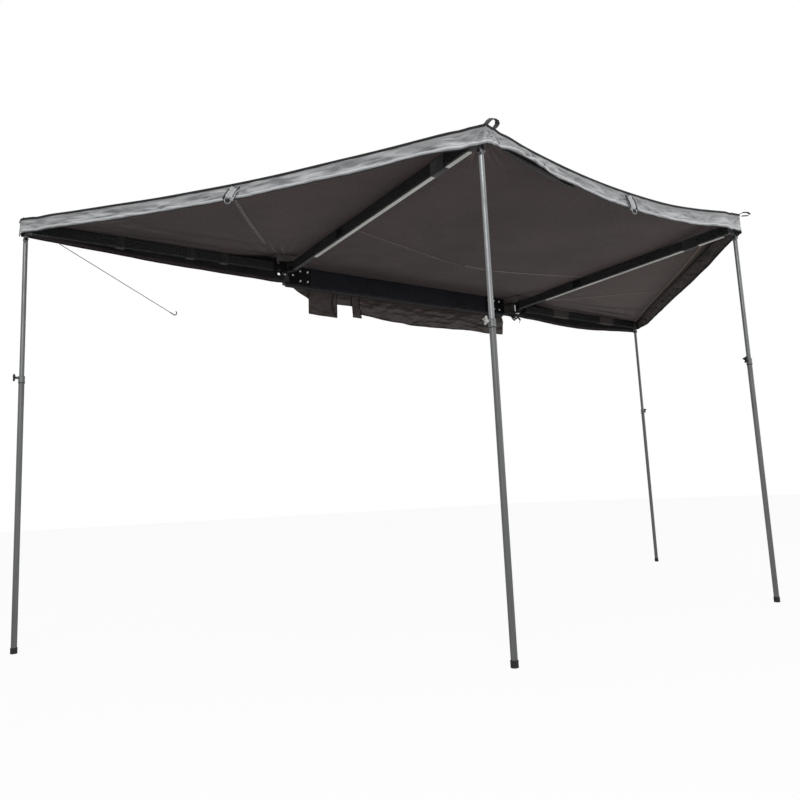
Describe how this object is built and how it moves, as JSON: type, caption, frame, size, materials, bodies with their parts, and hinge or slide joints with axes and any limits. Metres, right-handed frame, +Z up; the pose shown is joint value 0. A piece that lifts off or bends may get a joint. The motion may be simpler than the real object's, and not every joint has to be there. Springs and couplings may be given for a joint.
{
  "type": "vehicle side awning",
  "caption": "Fold-out fabric awning for the side of a vehicle roof rack, with hinged arms and telescopic legs.",
  "frame": {"origin": "on the beam's back face where it bolts to the roof rack, midway between the hinge pins and level with the middle of the arms", "axes": "+X forwards along the vehicle, +Y from the awning towards the vehicle, +Z up"},
  "size_m": [4.8456, 2.0496, 2.1243],
  "materials": {
    "beam_coating": "extruded, satin navy-black powder coat",
    "arm_coating": "extruded, satin black powder coat",
    "bracket_coating": "fine-textured black powder coat",
    "bright_steel": "bright zinc-plated steel",
    "silver_rail": "satin silver",
    "leg_metal": "satin grey anodised",
    "black_plastic": "moulded, slightly textured",
    "foot_rubber": "matt",
    "canopy_cloth": "coated canvas, matt",
    "bag_cloth": "coated cloth, faint sheen",
    "webbing": "woven strap, matt",
    "rope_fibre": "braided, matt"
  },
  "bodies": {
    "beam": {"backing_beam": "beam_coating", "rear_hinge_bracket": "bracket_coating", "front_hinge_bracket": "bracket_coating", "rear_clamp_bolts": "bright_steel", "front_clamp_bolts": "bright_steel", "rear_hinge_pin": "bright_steel", "front_hinge_pin": "bright_steel", "storage_bag": "bag_cloth", "storage_bag_flap": "bag_cloth", "storage_bag_strap": "bag_cloth", "rear_middle_canopy": "canopy_cloth", "front_middle_canopy": "canopy_cloth", "guy_rope": "rope_fibre", "guy_hook": "black_plastic"},
    "rear_outer_arm": {"rear_outer_arm_tube": "arm_coating", "rear_outer_knuckle": "bracket_coating", "rear_outer_tip_fork": "leg_metal", "rear_outer_band_1": "webbing", "rear_outer_band_2": "webbing", "rear_outer_band_3": "webbing"},
    "rear_outer_leg_upper": {"rear_outer_leg_inner_tube": "leg_metal"},
    "rear_outer_leg_lower": {"rear_outer_leg_outer_tube": "leg_metal", "rear_outer_leg_clamp_collar": "leg_metal", "rear_outer_leg_foot": "foot_rubber"},
    "rear_outer_leg_knob": {"rear_outer_leg_clamp_screw": "black_plastic"},
    "rear_mid_arm": {"rear_mid_arm_tube": "arm_coating", "rear_mid_knuckle": "bracket_coating", "rear_mid_tip_fork": "leg_metal", "rear_mid_band_1": "webbing", "rear_mid_arm_rail": "silver_rail", "rear_mid_arm_stop": "bracket_coating", "rear_wing_canopy": "canopy_cloth"},
    "rear_mid_leg_upper": {"rear_mid_leg_inner_tube": "leg_metal"},
    "rear_mid_leg_lower": {"rear_mid_leg_outer_tube": "leg_metal", "rear_mid_leg_clamp_collar": "leg_metal", "rear_mid_leg_foot": "foot_rubber"},
    "rear_mid_leg_knob": {"rear_mid_leg_clamp_screw": "black_plastic"},
    "front_mid_arm": {"front_mid_arm_tube": "arm_coating", "front_mid_knuckle": "bracket_coating", "front_mid_tip_fork": "leg_metal", "front_mid_band_1": "webbing", "front_mid_arm_rail": "silver_rail", "front_mid_arm_stop": "bracket_coating", "front_wing_canopy": "canopy_cloth"},
    "front_mid_leg_upper": {"front_mid_leg_inner_tube": "leg_metal"},
    "front_mid_leg_lower": {"front_mid_leg_outer_tube": "leg_metal", "front_mid_leg_clamp_collar": "leg_metal", "front_mid_leg_foot": "foot_rubber"},
    "front_mid_leg_knob": {"front_mid_leg_clamp_screw": "black_plastic"},
    "front_outer_arm": {"front_outer_arm_tube": "arm_coating", "front_outer_knuckle": "bracket_coating", "front_outer_tip_fork": "leg_metal", "front_outer_band_1": "webbing", "front_outer_band_2": "webbing"},
    "front_outer_leg_upper": {"front_outer_leg_inner_tube": "leg_metal"},
    "front_outer_leg_lower": {"front_outer_leg_outer_tube": "leg_metal", "front_outer_leg_clamp_collar": "leg_metal", "front_outer_leg_foot": "foot_rubber"},
    "front_outer_leg_knob": {"front_outer_leg_clamp_screw": "black_plastic"}
  },
  "joints": [
    {"name": "rear_fold", "type": "hinge", "parent": "beam", "child": "rear_mid_arm", "pos_m": [-1, -0.2, 0], "axis": [0, 0, 1], "range_deg": [0, 90], "deforming": ["rear_middle_canopy", "guy_rope"]},
    {"name": "rear_outer_fold", "type": "hinge", "parent": "rear_mid_arm", "child": "rear_outer_arm", "pos_m": [-1, -0.2, 0], "axis": [0, 0, 1], "range_deg": [0, 90], "deforming": ["rear_wing_canopy"]},
    {"name": "front_fold", "type": "hinge", "parent": "beam", "child": "front_mid_arm", "pos_m": [1, -0.116, 0], "axis": [0, 0, -1], "range_deg": [0, 90], "deforming": ["front_middle_canopy"]},
    {"name": "front_outer_fold", "type": "hinge", "parent": "front_mid_arm", "child": "front_outer_arm", "pos_m": [1, -0.116, 0], "axis": [0, 0, -1], "range_deg": [0, 90], "deforming": ["front_wing_canopy"]},
    {"name": "rear_outer_leg_fold", "type": "hinge", "parent": "rear_outer_arm", "child": "rear_outer_leg_upper", "pos_m": [-2.39, -0.2, -0.0586], "axis": [0, -1, 0], "range_deg": [0, 90]},
    {"name": "rear_outer_leg_slide", "type": "slide", "parent": "rear_outer_leg_upper", "child": "rear_outer_leg_lower", "axis": [0, 0, 1], "range_m": [-0.25, 0.6]},
    {"name": "rear_outer_clamp_turn", "type": "hinge", "parent": "rear_outer_leg_lower", "child": "rear_outer_leg_knob", "pos_m": [-2.415, -0.2, -0.7564], "axis": [-1, 0, 0], "range_deg": [0, 180]},
    {"name": "rear_mid_leg_fold", "type": "hinge", "parent": "rear_mid_arm", "child": "rear_mid_leg_upper", "pos_m": [-0.958, -2, -0.0586], "axis": [1, 0, 0], "range_deg": [0, 90]},
    {"name": "rear_mid_leg_slide", "type": "slide", "parent": "rear_mid_leg_upper", "child": "rear_mid_leg_lower", "axis": [0, 0, 1], "range_m": [-0.25, 0.6]},
    {"name": "rear_mid_clamp_turn", "type": "hinge", "parent": "rear_mid_leg_lower", "child": "rear_mid_leg_knob", "pos_m": [-0.983, -2, -0.7564], "axis": [-1, 0, 0], "range_deg": [0, 180]},
    {"name": "front_mid_leg_fold", "type": "hinge", "parent": "front_mid_arm", "child": "front_mid_leg_upper", "pos_m": [0.958, -1.916, -0.0586], "axis": [1, 0, 0], "range_deg": [0, 90]},
    {"name": "front_mid_leg_slide", "type": "slide", "parent": "front_mid_leg_upper", "child": "front_mid_leg_lower", "axis": [0, 0, 1], "range_m": [-0.25, 0.6]},
    {"name": "front_mid_clamp_turn", "type": "hinge", "parent": "front_mid_leg_lower", "child": "front_mid_leg_knob", "pos_m": [0.933, -1.916, -0.7564], "axis": [-1, 0, 0], "range_deg": [0, 180]},
    {"name": "front_outer_leg_fold", "type": "hinge", "parent": "front_outer_arm", "child": "front_outer_leg_upper", "pos_m": [2.39, -0.116, -0.0586], "axis": [0, 1, 0], "range_deg": [0, 90]},
    {"name": "front_outer_leg_slide", "type": "slide", "parent": "front_outer_leg_upper", "child": "front_outer_leg_lower", "axis": [0, 0, 1], "range_m": [-0.25, 0.6]},
    {"name": "front_outer_clamp_turn", "type": "hinge", "parent": "front_outer_leg_lower", "child": "front_outer_leg_knob", "pos_m": [2.415, -0.116, -0.7564], "axis": [1, 0, 0], "range_deg": [0, 180]}
  ],
  "couplings": [
    {"joint": "rear_outer_fold", "follows": "rear_fold", "ratio": 1},
    {"joint": "front_outer_fold", "follows": "front_fold", "ratio": 1}
  ]
}
